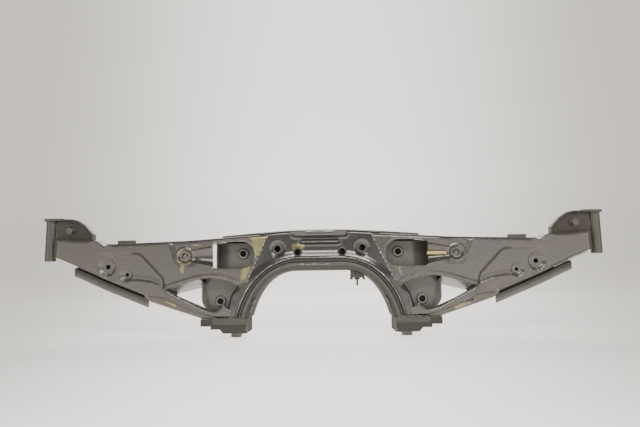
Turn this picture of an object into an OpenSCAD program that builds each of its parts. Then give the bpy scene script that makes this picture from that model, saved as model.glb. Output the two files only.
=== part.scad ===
// Pressed and welded rear subframe: a centre box with an arch and two legs, two box-section arms
// that end in vertical mount sleeves, and the link brackets, feet and small fittings welded to them.
// Millimetres. X runs across the vehicle, -Y is the front face, +Z is up.
// The origin is midway between the two body mounts, on the top of their plates.

/* [Body mounts] */
// Distance between the two mount sleeve axes
mount_spacing = 1120; // [1110:1:1130]
// Outside diameter of a mount sleeve
sleeve_od = 22; // [21:0.5:24]
// Bore of a mount sleeve and of its plate
sleeve_bore = 15; // [13:0.5:16]
// Height from the plate's top to the sleeve's lower end
sleeve_drop = 88; // [84:1:92]
// Thickness of a mount plate
mount_plate_t = 4.5; // [3:0.5:6]
// Width of a mount plate
mount_plate_w = 32; // [30:1:36]

/* [Pressings] */
// Sheet thickness of the panels
sheet = 3; // [2.5:0.25:3.5]
// Depth of the arm box, from front face to rear face
box_depth = 72; // [66:1:78]
// Length of the flange lap in the middle of the box
flange_lap = 12; // [8:1:16]
// Width that the arm panels lap over the centre panels
seam_lap = 15; // [12:1:18]
// Recess of the pressed floor behind a dished pad
pad_recess = 4; // [3:0.5:6]

/* [Arch] */
// Height of the arch crown below the mount plates
arch_crown = 114.5; // [110:0.5:118]
// Height of the panel edge over the arch
arch_edge = 92; // [91:0.5:96]
// Distance that the arch rim stands out from the centre panel
rim_stand = 6; // [4:0.5:9]

/* [Link pivots] */
// Diameter of the pivot holes
pivot_d = 12.5; // [10.5:0.5:13]
// Outside diameter of the pivot collars
collar_d = 20; // [18:0.5:22]
// Distance that a pivot collar stands out from its bracket
collar_stand = 3; // [2:0.5:5]
// Half distance between the upper pivots
upper_pivot_x = 159; // [157:0.5:161]
// Depth of the upper pivots below the mount plates
upper_pivot_drop = 78; // [77:0.5:80]
// Half distance between the lower pivots
lower_pivot_x = 205; // [203:0.5:207]
// Depth of the lower pivots below the mount plates
lower_pivot_drop = 174; // [172:0.5:176]
// Sheet thickness of the link brackets
bracket_t = 3.5; // [3:0.25:4]

/* [Centre bushes] */
// Diameter of the through holes in the centre box
bush_bore = 12.5; // [11:0.5:13.5]
// Outside diameter of the centre bushes
bush_od = 19; // [17:0.5:20]
// Half distance between the outer bushes
outer_bush_x = 84; // [82:0.5:86]
// Half distance between the inner bushes
inner_bush_x = 44; // [42:0.5:46]

/* [Feet and fittings] */
// Depth of the foot floor below the mount plates
foot_floor = 235; // [233:1:238]
// Diameter of the foot boss
foot_boss_d = 22; // [20:0.5:24]
// Thread hole in the foot boss
foot_hole_d = 10.5; // [8:0.5:12]
// Height of the foot boss
foot_boss_h = 10; // [8:1:12]
// Diameter of the end bracket bolt's head, across its flange
end_bolt_d = 18; // [16:0.5:19]
// Diameter of the stay bolt on the right arm
stay_d = 9; // [7:0.5:10]

/* [Hidden] */
$fn = 96;
steel = [0.46, 0.43, 0.40];
dark_steel = [0.40, 0.39, 0.34];
pale_steel = [0.52, 0.50, 0.48];
zinc = [0.78, 0.68, 0.38];

// Front and rear planes: the arm panels lie outside, the centre panels one sheet further in.
front = -box_depth / 2;
rear = box_depth / 2;
centre_front = front + sheet;
centre_rear = rear - sheet;
mount_x = mount_spacing / 2;
arm_end = mount_x - 32;
hole_clear = 1;

// Outlines seen from the front, on the right-hand side.
// The outer points keep their distance to the mount sleeve.
notch_out = [mount_x - 117, -53];
notch_top = [mount_x - 106, -47.5];
shoulder = [mount_x - 66, -46.5];
arm_corner = [arm_end, -42];
arm_top = [[130, -43.9], [196, -47.3], [265, -51.8], [mount_x - 135, -56.5],
           [mount_x - 127.5, -61], notch_out, notch_top, shoulder, arm_corner];
arm_low = [[arm_end, -82.4], [mount_x - 80, -102.7], [mount_x - 126, -123.8], [341, -161.3]];
seam = [[147.5, -137], [104, -42.5]];
crease = [[306, -148], [307, -144], [313, -124.5], [354, -82], [362, -76.6], [375, -76.2]];

// Points along a cubic curve.
function curve(a, b, c, d, n = 16) =
    [for (i = [0:n]) let (t = i / n, u = 1 - t)
        u * u * u * a + 3 * u * u * t * b + 3 * u * t * t * c + t * t * t * d];
function flip(p) = [for (i = [len(p) - 1:-1:0]) [-p[i][0], p[i][1]]];
function back(p) = [for (i = [len(p) - 1:-1:0]) p[i]];
function unit(v) = v / norm(v);
function right_of(v) = [v[1], -v[0]];
// The line that runs beside an open line, d to its right.
function beside(p, d) =
    [for (i = [0:len(p) - 1])
        let (m = len(p) - 1,
             a = right_of(unit(p[max(i, 1)] - p[max(i, 1) - 1])),
             b = right_of(unit(p[min(i, m - 1) + 1] - p[min(i, m - 1)])),
             s = unit(a + b))
        p[i] + s * d / (s * a)];
function strip(p, d) = concat(p, back(beside(p, d)));

arch_inner = curve([50, -arch_crown], [105, -arch_crown], [136, -165], [148, -236]);
arch_outer = curve([40, -arch_edge], [100, -arch_edge], [150, -138], [164, -211]);
inner_low = concat(curve([306, -148], [268, -137], [240, -126], [212, -127.5], 8),
                   curve([212, -127.5], [190, -128], [180, -137], [163, -140.5], 6));

// A flat plate with its outline in the XZ plane, between two depths.
module plate(outline, y0, y1) {
    translate([0, y1, 0]) rotate([90, 0, 0]) linear_extrude(y1 - y0) polygon(outline);
}
// A round bar or hole along Y.
module along_y(d, x, z, y0, y1) {
    translate([x, y1, z]) rotate([90, 0, 0]) cylinder(d = d, h = y1 - y0);
}
// A right-hand piece, or its mirror image.
module side(s) {
    mirror([s < 0 ? 1 : 0, 0, 0]) children();
}

// Round-ended opening in the arm's front panel.
window_x = upper_pivot_x - 3;
window_end = 214;
window_top = 55.5;
window_low = 107.5;
window_r = (window_low - window_top) / 2;
module window(y0, y1) {
    zc = -(window_top + window_low) / 2;
    corner = 8;
    along_y(2 * window_r, window_x, zc, y0, y1);
    for (z = [-window_top - corner, -window_low + corner])
        along_y(2 * corner, window_end - corner, z, y0, y1);
    plate([[window_x, -window_low], [window_end - corner, -window_low],
           [window_end - corner, -window_top], [window_x, -window_top]], y0, y1);
    plate([[window_x, -window_low + corner], [window_end, -window_low + corner],
           [window_end, -window_top - corner], [window_x, -window_top - corner]], y0, y1);
}

// A dished pad or dimple: its section is turned about the Y axis.
module dish(x, z, r, floor_r, depth, hole_d, dome = 0) {
    translate([x, front, z]) rotate([-90, 0, 0]) difference() {
        rotate_extrude() polygon(concat(
            [[r + sheet, 0], [r, 0], [floor_r, depth]],
            dome > 0 ? [[floor_r * 0.7, depth], [floor_r * 0.35, depth - dome], [0, depth - dome]]
                     : [[0, depth]],
            dome > 0 ? [[0, depth + sheet - dome], [floor_r * 0.35, depth + sheet - dome],
                        [floor_r * 0.7, depth + sheet]]
                     : [[0, depth + sheet]],
            [[floor_r + sheet * 0.6, depth + sheet], [r + sheet, sheet]]));
        if (hole_d > 0) translate([0, 0, -hole_clear])
            cylinder(d = hole_d, h = depth + sheet + 2 * hole_clear);
    }
}

pad_1 = [mount_x - 136, -102];
pad_1_r = 19;
pad_1_hole = 9;
pad_2 = [mount_x - 174, -118];
pad_2_r = 15;
pad_2_hole = 7;
disc = [270, -83];
disc_r = 14;
disc_floor_r = 10;
disc_depth = 4;
disc_dome = 3;
pad_floor_in = 6;
trough_r = [11, 20];
trough_end = 258;
trough_wall_x = 250;
hem_lap = 3;
outer_bush_z = -71;
inner_bush_z = -78;
leg_edge = 190;
leg_low = -216;
foot_top = 205;
foot_in = leg_edge - 45;
foot_out = leg_edge + 46;
foot_boss_x = 171.5;
rim_lap = 5;
rib_w = 4;
link_face = 4;
rail_drop = 26;
rail_w = 22;
rail_ends = [352, mount_x - 52];
end_shank_d = 10;
clip_x = 74;
clip_stud_d = 4;

// Half-cone channel that runs from the dimple to the window.
module trough(grow) {
    translate([window_end, front, disc[1]]) rotate([0, 90, 0])
        cylinder(r1 = trough_r[1] + grow, r2 = trough_r[0] + grow, h = trough_end - window_end);
}
module trough_wall() {
    difference() {
        trough(sheet);
        difference() {
            trough(0);
            translate([trough_wall_x, front, disc[1] - 50]) cube([sheet, 50, 100]);
        }
        translate([0, front - 50, -200]) cube([600, 50, 400]);
    }
}

// The arm panel's face, with the lower boundary of its inner half following the curved edge.
arm_outline = concat([seam[1]], arm_top, arm_low, inner_low, [seam[0]]);
crease_pocket = concat([[345, -159.7], [362, -135], [372, -112]], back(crease), [[320, -155]]);
// The pressed floor behind the crease runs on as the strut down to the foot.
strut_fold = [[311, -162.5], [283, -175.5], [255, -187], [230, -196], [206, -201], [leg_edge, -201.5]];
strut_floor = concat([[350, -157.7], [368, -136], [378, -112], [381, -72], [361, -71], [349, -77],
                      [308, -121], [301, -138], [289, -157.5], [237, -184.5], [220, -190.5],
                      [leg_edge, -194.5]], back(beside(strut_fold, -hem_lap)), [[341, -161.3]]);
// A hem along the strut's lower edge lies one sheet further in.
strut_hem = concat([[348, -157.5]], strut_fold, [[leg_edge, -215], [230, -211], [238, -205], [265, -196],
                                                 [300, -185], [338, -172.5], [350, -164]]);

module arm_front_panel(s) {
    cut0 = front - hole_clear;
    cut1 = front + sheet + hole_clear;
    color(s < 0 ? steel : pale_steel) side(s) difference() {
        union() {
            difference() {
                plate(arm_outline, front, front + sheet);
                plate(crease_pocket, cut0, cut1);
                trough(0);
                along_y(2 * disc_r, disc[0], disc[1], cut0, cut1);
                along_y(2 * pad_1_r, pad_1[0], pad_1[1], cut0, cut1);
                along_y(2 * pad_2_r, pad_2[0], pad_2[1], cut0, cut1);
            }
            plate(strut_floor, centre_front, centre_front + sheet);
            plate(strut_hem, centre_front + sheet, centre_front + 2 * sheet);
            plate(strip(arm_top, sheet), front, flange_lap / 2);
            plate(strip(arm_low, sheet), front, flange_lap / 2);
            trough_wall();
            dish(disc[0], disc[1], disc_r, disc_floor_r, disc_depth, 0, disc_dome);
            dish(pad_1[0], pad_1[1], pad_1_r, pad_1_r - pad_floor_in, pad_recess, pad_1_hole);
            dish(pad_2[0], pad_2[1], pad_2_r, pad_2_r - pad_floor_in, pad_recess, pad_2_hole);
        }
        window(cut0, centre_front + 2 * sheet);
    }
}

rear_top = beside(arm_top, sheet);
rear_low = beside(arm_low, -sheet);
rear_outline = concat([[104, rear_top[0][1]]], rear_top, rear_low, [[350, -170], [294, -194.5],
                      [foot_out, -212], [foot_out, -192], [304, -163], [304, -159], [244, -144.8],
                      [163, -141], [147.5, -137]]);

// The room that a sleeve takes up.
module sleeve_space() {
    translate([mount_x, 0, -sleeve_drop]) cylinder(d = sleeve_od, h = sleeve_drop);
}

module arm_rear_panel(s) {
    saddle_low = 78;
    saddle_h = 28;
    saddle_r = sleeve_od / 2 + sheet;
    saddle = concat([[arm_end - 22, rear], [mount_x - 22, 17]],
                    [for (a = [150:-15:30]) [mount_x, 0] + saddle_r * [cos(a), sin(a)]]);
    tab_y = flange_lap / 2 + 2;
    tab = [[mount_x - 174, -60], [mount_x - 174, -48], [mount_x - 171, -45.5], [mount_x - 139, -45.5],
           [mount_x - 136, -48], [mount_x - 136, -60]];
    color(dark_steel) side(s) {
        plate(tab, tab_y, tab_y + sheet);
        difference() {
            plate(rear_outline, centre_rear, rear);
            rear_window();
        }
        plate(strip(rear_top, sheet), -flange_lap / 2, rear);
        plate(strip(arm_low, -sheet), -flange_lap / 2, rear);
        difference() {
            translate([0, 0, -saddle_low]) linear_extrude(saddle_h) polygon(strip(saddle, sheet));
            sleeve_space();
        }
    }
}

// Opening beside the upper link bracket, through both rear panels.
module rear_window() {
    plate([[196, -110], [202, -116], [240, -116], [250, -108], [250, -62], [242, -54.5],
           [202, -54.5], [196, -60]], centre_rear - 2 * sheet, rear + hole_clear);
}

// Half-outline of a centre panel: top edge, lap under the arm panel, leg and arch.
leg_line = [[162.5, -137], [165, -143], [leg_edge - 12, -161], [leg_edge - 8, -174], [leg_edge - 2, -197.5],
            [leg_edge, -197.5], [leg_edge, leg_low]];
panel_half = concat([[104 + seam_lap, -39]], leg_line, [[166, leg_low]], back(arch_outer));
panel_top = curve([-104 - seam_lap, -39], [-50, -31.5], [50, -31.5], [104 + seam_lap, -39]);

module bush_holes() {
    for (x = [-outer_bush_x, outer_bush_x])
        along_y(bush_od, x, outer_bush_z, front - hole_clear, 0);
    for (x = [-inner_bush_x, inner_bush_x])
        along_y(bush_od, x, inner_bush_z, front - hole_clear, 0);
}

// A pressed bead: a slot in the panel, closed by a floor one sheet further in.
// Each bead has its height, its width and its half length.
beads = [[-43.5, 7, 50], [-57, 6, 36]];
bead_wall = 2;
module bead_slot(half, z, h, y0, y1) {
    for (x = [-half, half]) along_y(h, x, z, y0, y1);
    plate([[-half, z - h / 2], [half, z - h / 2], [half, z + h / 2], [-half, z + h / 2]], y0, y1);
}

module centre_front_panel() {
    color(pale_steel) {
        difference() {
            plate(concat(panel_top, [for (i = [1:len(panel_half) - 1]) panel_half[i]], flip(panel_half)),
                  centre_front, centre_front + sheet);
            bush_holes();
            for (b = beads)
                bead_slot(b[2], b[0], b[1], front, centre_front + sheet + hole_clear);
        }
        for (b = beads)
            bead_slot(b[2], b[0], b[1] + 2 * bead_wall, centre_front + sheet,
                      centre_front + 2 * sheet);
        plate(strip(panel_top, sheet), centre_front, centre_rear - sheet);
    }
}

module centre_rear_panel() {
    rear_half = concat([[128, -32.5], [208, -38.5], [209, -50], [128, -45.8]], leg_line, [[166, leg_low]],
                       back(arch_outer));
    ear_r = 20;
    ear_z = -lower_pivot_drop;
    ear_root = [[leg_edge - 18, ear_z + ear_r + 4], [lower_pivot_x, ear_z + ear_r],
                [lower_pivot_x, ear_z - ear_r], [leg_edge - 4, ear_z - ear_r]];
    color(dark_steel) difference() {
        union() {
            plate(concat(curve([-128, -32.5], [-50, -25.5], [50, -25.5], [128, -32.5]),
                         [for (i = [1:len(rear_half) - 1]) rear_half[i]], flip(rear_half)),
                  centre_rear - sheet, centre_rear);
            for (s = [-1, 1]) side(s) {
                plate(ear_root, centre_rear - sheet, centre_rear);
                along_y(2 * ear_r, lower_pivot_x, ear_z, centre_rear - sheet, centre_rear);
            }
        }
        side(1) rear_window();
        side(-1) rear_window();
    }
}

// Curved tunnel under the arch with a flange against each centre panel and a rib along the front one.
module arch_rim() {
    tunnel = concat(flip(arch_inner), arch_inner);
    lip = concat(flip(beside(arch_outer, -rim_lap)), beside(arch_outer, -rim_lap));
    rib = concat(flip(arch_outer), arch_outer);
    color(steel) difference() {
        union() {
            plate(strip(tunnel, -sheet), front, rear);
            plate(concat(tunnel, back(lip)), front, centre_front);
            plate(concat(tunnel, back(lip)), centre_rear, rear);
            plate(strip(rib, rib_w), front - rim_stand, front);
        }
        translate([-300, -100, -300]) cube([600, 200, 300 - foot_top]);
    }
}

module centre_bush(x, z, y0) {
    color(dark_steel) difference() {
        along_y(bush_od, x, z, y0, centre_rear - sheet);
        along_y(bush_bore, x, z, y0 - hole_clear, centre_rear);
    }
}

module mount_sleeve(s) {
    color(dark_steel) translate([s * mount_x, 0, -sleeve_drop]) difference() {
        cylinder(d = sleeve_od, h = sleeve_drop - mount_plate_t);
        translate([0, 0, -hole_clear]) cylinder(d = sleeve_bore, h = sleeve_drop);
    }
}

module mount_plate(s) {
    inner = 30;
    color(dark_steel) side(s) translate([mount_x, 0, -mount_plate_t]) difference() {
        union() {
            cylinder(d = mount_plate_w, h = mount_plate_t);
            translate([-inner, -mount_plate_w / 2, 0]) cube([inner, mount_plate_w, mount_plate_t]);
        }
        translate([0, 0, -hole_clear]) cylinder(d = sleeve_bore, h = mount_plate_t + 2 * hole_clear);
    }
}

// Gusset between the arm's top, the sleeve and the mount plate, with a rim along its sloping edge.
end_bolt = [mount_x - 43, -25.5];
module end_bracket(s) {
    rim_w = 16;
    rim = [[mount_x - 94, -52], [mount_x - 94, -34], [mount_x - 77, -15], [mount_x - 61, -5],
           [mount_x - 48, -2], [arm_end, -2]];
    arm_low_z = -70;
    color(steel) side(s) difference() {
        union() {
            plate(concat(rim, [[arm_end, -mount_plate_t], [mount_x, -mount_plate_t],
                               [mount_x, arm_corner[1]], arm_corner, shoulder]), -bracket_t, 0);
            plate(strip(rim, bracket_t), -rim_w, 0);
        }
        sleeve_space();
        plate([notch_out, notch_top, shoulder, arm_corner, [arm_end, arm_low_z], [notch_out[0], arm_low_z]],
              front, rear);
        along_y(end_shank_d, end_bolt[0], end_bolt[1], -rim_w, rim_w);
    }
}

module end_bolt(s) {
    head_h = 7;
    washer_h = 2;
    color(pale_steel) side(s) {
        along_y(end_bolt_d, end_bolt[0], end_bolt[1], -bracket_t - washer_h, -bracket_t);
        translate([end_bolt[0], -bracket_t, end_bolt[1]]) rotate([90, 0, 0])
            cylinder(d = end_bolt_d * 0.82, h = washer_h + head_h, $fn = 6);
        along_y(end_shank_d, end_bolt[0], end_bolt[1], -bracket_t, 14);
    }
}

// Angle strip under the arm box.
module lower_rail(s) {
    line = beside(arm_low, -sheet);
    color(steel) side(s) intersection() {
        union() {
            plate(strip(line, -sheet), 0, rail_w);
            plate(concat(line, back(beside(arm_low, -rail_drop))), 0, sheet);
        }
        translate([rail_ends[0], 0, -200]) cube([rail_ends[1] - rail_ends[0], rail_w, 160]);
    }
}

// Plan section of a link bracket: inboard flange, flat face, and a wing that bends back.
module link_section(x0, x1, r, sweep, h) {
    line = concat([[x0, centre_rear - sheet], [x0, link_face], [x1, link_face]],
                  [for (a = [sweep / 8:sweep / 8:sweep]) [x1 + r * sin(a), link_face + r * (1 - cos(a))]]);
    linear_extrude(h) polygon(strip(line, -bracket_t));
}

module upper_link_bracket(s) {
    bracket_low = -122;
    bracket_h = 66;
    flange_x = 126;
    bend_x = upper_pivot_x + 21;
    // The right wing is wider and bends less, so it closes its window.
    bend_r = s < 0 ? 46 : 58;
    bend_sweep = s < 0 ? 62 : 53;
    color(steel) side(s) difference() {
        translate([0, 0, bracket_low]) link_section(flange_x, bend_x, bend_r, bend_sweep, bracket_h);
        along_y(pivot_d, upper_pivot_x, -upper_pivot_drop, link_face - hole_clear, rear);
    }
}

module lower_link_bracket(s) {
    flange_x = 150;
    bend_x = lower_pivot_x + 18;
    ear_top = -126;
    ear_r = 38;
    ear_mid = [lower_pivot_x + 8, -lower_pivot_drop + 16];
    ear = concat([[flange_x, -160], [flange_x, ear_top], [lower_pivot_x + 31, ear_top]],
                 [for (a = [20:-10:-140]) ear_mid + ear_r * [cos(a), sin(a)]],
                 [[lower_pivot_x - 28, -160]]);
    color(steel) side(s) difference() {
        intersection() {
            translate([0, 0, ear_mid[1] - 52]) link_section(flange_x, bend_x, 28, 85, 100);
            plate(ear, front, rear);
        }
        along_y(pivot_d, lower_pivot_x, -lower_pivot_drop, link_face - hole_clear, rear);
    }
}

module pivot_collar(s, x, z) {
    color(pale_steel) side(s) difference() {
        along_y(collar_d, x, z, link_face - collar_stand, link_face);
        along_y(pivot_d, x, z, link_face - collar_stand - hole_clear, link_face + hole_clear);
    }
}

// Stepped channel that closes the foot: front wall, stepped floor and rear wall.
module foot_bracket(s) {
    step_1 = 8;
    step_2 = 14;
    step_1_x = foot_out - 38;
    step_2_x = foot_out - 20;
    step_run = 7;
    floor_line = [[foot_in, -foot_top], [foot_in, -foot_floor], [step_1_x - step_run, -foot_floor],
                  [step_1_x, -foot_floor + step_1], [step_2_x, -foot_floor + step_1],
                  [step_2_x, -foot_floor + step_2], [foot_out, -foot_floor + step_2]];
    outer_wall = [[foot_out, -foot_floor + step_2], [foot_out, -foot_top + 3]];
    wall = concat(floor_line, [[foot_out, -207], [200, -foot_top]]);
    color(steel) side(s) difference() {
        union() {
            plate(strip(floor_line, -sheet), front, rear);
            plate(strip(outer_wall, -sheet), centre_front + 2 * sheet, rear);
            plate(wall, front, centre_front);
            plate(wall, centre_rear, rear);
        }
        translate([foot_boss_x, 0, -foot_floor - hole_clear])
            cylinder(d = foot_hole_d, h = sheet + 2 * hole_clear);
    }
}

module foot_boss(s) {
    color(dark_steel) translate([s * foot_boss_x, 0, -foot_floor - foot_boss_h]) difference() {
        cylinder(d = foot_boss_d, h = foot_boss_h);
        translate([0, 0, -hole_clear]) cylinder(d = foot_hole_d, h = foot_boss_h + 2 * hole_clear);
    }
}

// Small folded clip under the arch.
// Its face hangs from the tunnel and its shelf carries the stud.
clip_y = -20;
clip_t = 3;
clip_shelf = -130;
clip_depth = 26;
clip_half = 16;
clip_stud_y = -5;
clip_nut_h = 4;
module clip_bracket() {
    top = [for (p = arch_inner) if (abs(p[0] - clip_x) < clip_half) p];
    x0 = clip_x - clip_half + 1;
    x1 = clip_x + clip_half;
    lug = 6;
    color(pale_steel) difference() {
        union() {
            plate(concat(top, [[x1, clip_shelf - clip_nut_h], [x1 - lug, clip_shelf - clip_nut_h],
                               [x1 - lug, clip_shelf], [x0 + lug, clip_shelf],
                               [x0 + lug, clip_shelf - clip_nut_h], [x0, clip_shelf - clip_nut_h]]),
                  clip_y, clip_y + clip_t);
            translate([x0 + clip_t, clip_y, clip_shelf])
                cube([x1 - x0 - 2 * clip_t, clip_depth, clip_t]);
        }
        translate([clip_x, clip_stud_y, clip_shelf - hole_clear])
            cylinder(d = clip_stud_d, h = clip_t + 2 * hole_clear);
    }
}

module clip_stud() {
    stud_free = 16;
    nut_d = 11;
    color(dark_steel) translate([clip_x, clip_stud_y, clip_shelf]) {
        translate([0, 0, -stud_free]) cylinder(d = clip_stud_d, h = stud_free + clip_t);
        translate([0, 0, -clip_nut_h]) cylinder(d = nut_d, h = clip_nut_h, $fn = 6);
    }
}

module stay_bolt() {
    stay_out = 2;
    stay_in = 6;
    color(zinc) translate([window_end - stay_out, front + stay_in, disc[1]]) rotate([0, 90, 0])
        cylinder(d = stay_d, h = trough_wall_x - window_end + stay_out);
}

centre_front_panel();
centre_rear_panel();
arch_rim();
centre_bush(-outer_bush_x, outer_bush_z, front);  // outer_bush_left
centre_bush(outer_bush_x, outer_bush_z, front);  // outer_bush_right
centre_bush(-inner_bush_x, inner_bush_z, centre_front);  // inner_bush_left
centre_bush(inner_bush_x, inner_bush_z, centre_front);  // inner_bush_right
arm_front_panel(-1);  // arm_front_panel_left
arm_front_panel(1);  // arm_front_panel_right
arm_rear_panel(-1);  // arm_rear_panel_left
arm_rear_panel(1);  // arm_rear_panel_right
lower_rail(-1);  // lower_rail_left
lower_rail(1);  // lower_rail_right
mount_sleeve(-1);  // mount_sleeve_left
mount_sleeve(1);  // mount_sleeve_right
mount_plate(-1);  // mount_plate_left
mount_plate(1);  // mount_plate_right
end_bracket(-1);  // end_bracket_left
end_bracket(1);  // end_bracket_right
end_bolt(-1);  // end_bolt_left
end_bolt(1);  // end_bolt_right
upper_link_bracket(-1);  // upper_link_bracket_left
upper_link_bracket(1);  // upper_link_bracket_right
lower_link_bracket(-1);  // lower_link_bracket_left
lower_link_bracket(1);  // lower_link_bracket_right
pivot_collar(-1, upper_pivot_x, -upper_pivot_drop);  // upper_pivot_collar_left
pivot_collar(1, upper_pivot_x, -upper_pivot_drop);  // upper_pivot_collar_right
pivot_collar(-1, lower_pivot_x, -lower_pivot_drop);  // lower_pivot_collar_left
pivot_collar(1, lower_pivot_x, -lower_pivot_drop);  // lower_pivot_collar_right
foot_bracket(-1);  // foot_bracket_left
foot_bracket(1);  // foot_bracket_right
foot_boss(-1);  // foot_boss_left
foot_boss(1);  // foot_boss_right
clip_bracket();
clip_stud();
stay_bolt();
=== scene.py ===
import math

import bmesh
import bpy
import numpy as np
from mathutils import Matrix, Vector, geometry


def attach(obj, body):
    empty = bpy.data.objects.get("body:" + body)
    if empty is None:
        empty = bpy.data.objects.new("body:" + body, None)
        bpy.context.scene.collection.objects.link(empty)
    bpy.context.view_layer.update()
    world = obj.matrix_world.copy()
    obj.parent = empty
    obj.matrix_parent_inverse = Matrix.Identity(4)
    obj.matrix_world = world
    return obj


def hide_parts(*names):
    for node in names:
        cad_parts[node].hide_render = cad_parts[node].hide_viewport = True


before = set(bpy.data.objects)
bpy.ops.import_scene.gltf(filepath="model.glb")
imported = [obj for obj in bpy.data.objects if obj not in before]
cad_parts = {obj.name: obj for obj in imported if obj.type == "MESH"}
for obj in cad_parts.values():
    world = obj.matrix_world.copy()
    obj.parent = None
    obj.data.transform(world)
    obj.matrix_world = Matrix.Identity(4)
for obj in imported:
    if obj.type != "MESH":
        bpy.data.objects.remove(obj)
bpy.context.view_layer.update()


# The front half of the centre box, one deep-drawn steel pressing with two stiffening beads,
# bolt holes, a rolled top edge and two legs that stand on the feet.
# All outlines are in millimetres, seen from the front.
mm = 0.001
sheet = 3.0
front, rear = -36.0, 36.0
centre_front, centre_rear = front + sheet, rear - sheet
bush_r = 9.5
outer_bush = (84.0, -71.0)
inner_bush = (44.0, -78.0)
far_off = 1e9


def curve(a, b, c, d, n=24):
    t = np.linspace(0, 1, n + 1)[:, None]
    u = 1 - t
    a, b, c, d = (np.array(v, float) for v in (a, b, c, d))
    return u**3 * a + 3 * u * u * t * b + 3 * u * t * t * c + t**3 * d


def smooth(a, b, v):
    t = np.clip((v - a) / (b - a), 0, 1)
    return t * t * (3 - 2 * t)


def closed(loop):
    return np.vstack([loop, loop[:1]])


def reach(line, p):
    """Distance of points to an open line, and on which side of it they lie."""
    best = np.full(len(p), far_off)
    left = np.zeros(len(p))
    for a, b in zip(line[:-1], line[1:]):
        a, b = np.array(a, float), np.array(b, float)
        ab = b - a
        t = np.clip(((p - a) @ ab) / (ab @ ab), 0, 1)
        off = p - (a + t[:, None] * ab)
        d = np.hypot(off[:, 0], off[:, 1])
        cross = ab[0] * (p[:, 1] - a[1]) - ab[1] * (p[:, 0] - a[0])
        left = np.where(d < best - 1e-9, np.sign(cross), left)
        best = np.minimum(best, d)
    return best, left


def from_edges(loops, p):
    """Distance of points to the nearest cut edge."""
    d = np.full(len(p), far_off)
    for loop in loops:
        d = np.minimum(d, reach(closed(loop), p)[0])
    return d


def inside(loop, p):
    odd = np.zeros(len(p), bool)
    x, z = p[:, 0], p[:, 1]
    for a, b in zip(loop, np.roll(loop, -1, 0)):
        if a[1] == b[1]:
            continue
        crossing = (b[0] - a[0]) * (z - a[1]) / (b[1] - a[1]) + a[0]
        odd ^= ((a[1] > z) != (b[1] > z)) & (x < crossing)
    return odd


def in_metal(outline, holes, p):
    """Which points lie inside an outline and outside its holes."""
    ok = inside(outline, p)
    for h in holes:
        ok &= ~inside(h, p)
    return ok


def resample(loop, step):
    out = []
    for a, b in zip(loop, np.roll(loop, -1, 0)):
        n = max(1, int(math.ceil(np.hypot(*(b - a)) / step)))
        out += [a + (b - a) * i / n for i in range(n)]
    return np.array(out)


def circle(x, z, r, n=40):
    a = np.linspace(0, 2 * math.pi, n, endpoint=False)
    return np.stack([x + r * np.cos(a), z + r * np.sin(a)], 1)


def roll(d, r):
    """How far a sheet has turned back at distance d from a rolled edge."""
    e = np.clip(r - np.maximum(d, 0.03 * r), 0, r)
    return r - np.sqrt(r * r - e * e)


def fold_rows(line, r, step, outline, holes):
    """Rows of points on both sides of a fold, so that the mesh follows it."""
    rows = []
    for k in (0.12, 0.3, 0.55, 0.85):
        for a, b in zip(line[:-1], line[1:]):
            ab = b - a
            n = max(1, int(np.hypot(*ab) / step))
            side = np.array([-ab[1], ab[0]]) / np.hypot(*ab)
            base = a + ab * (np.arange(n)[:, None] + 0.5) / n
            for s in (-1, 1):
                row = base + s * side * k * r
                row = row[in_metal(outline, holes, row)]
                if len(row):
                    rows.append(row[reach(line, row)[0] > 0.95 * k * r])
    return rows


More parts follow.
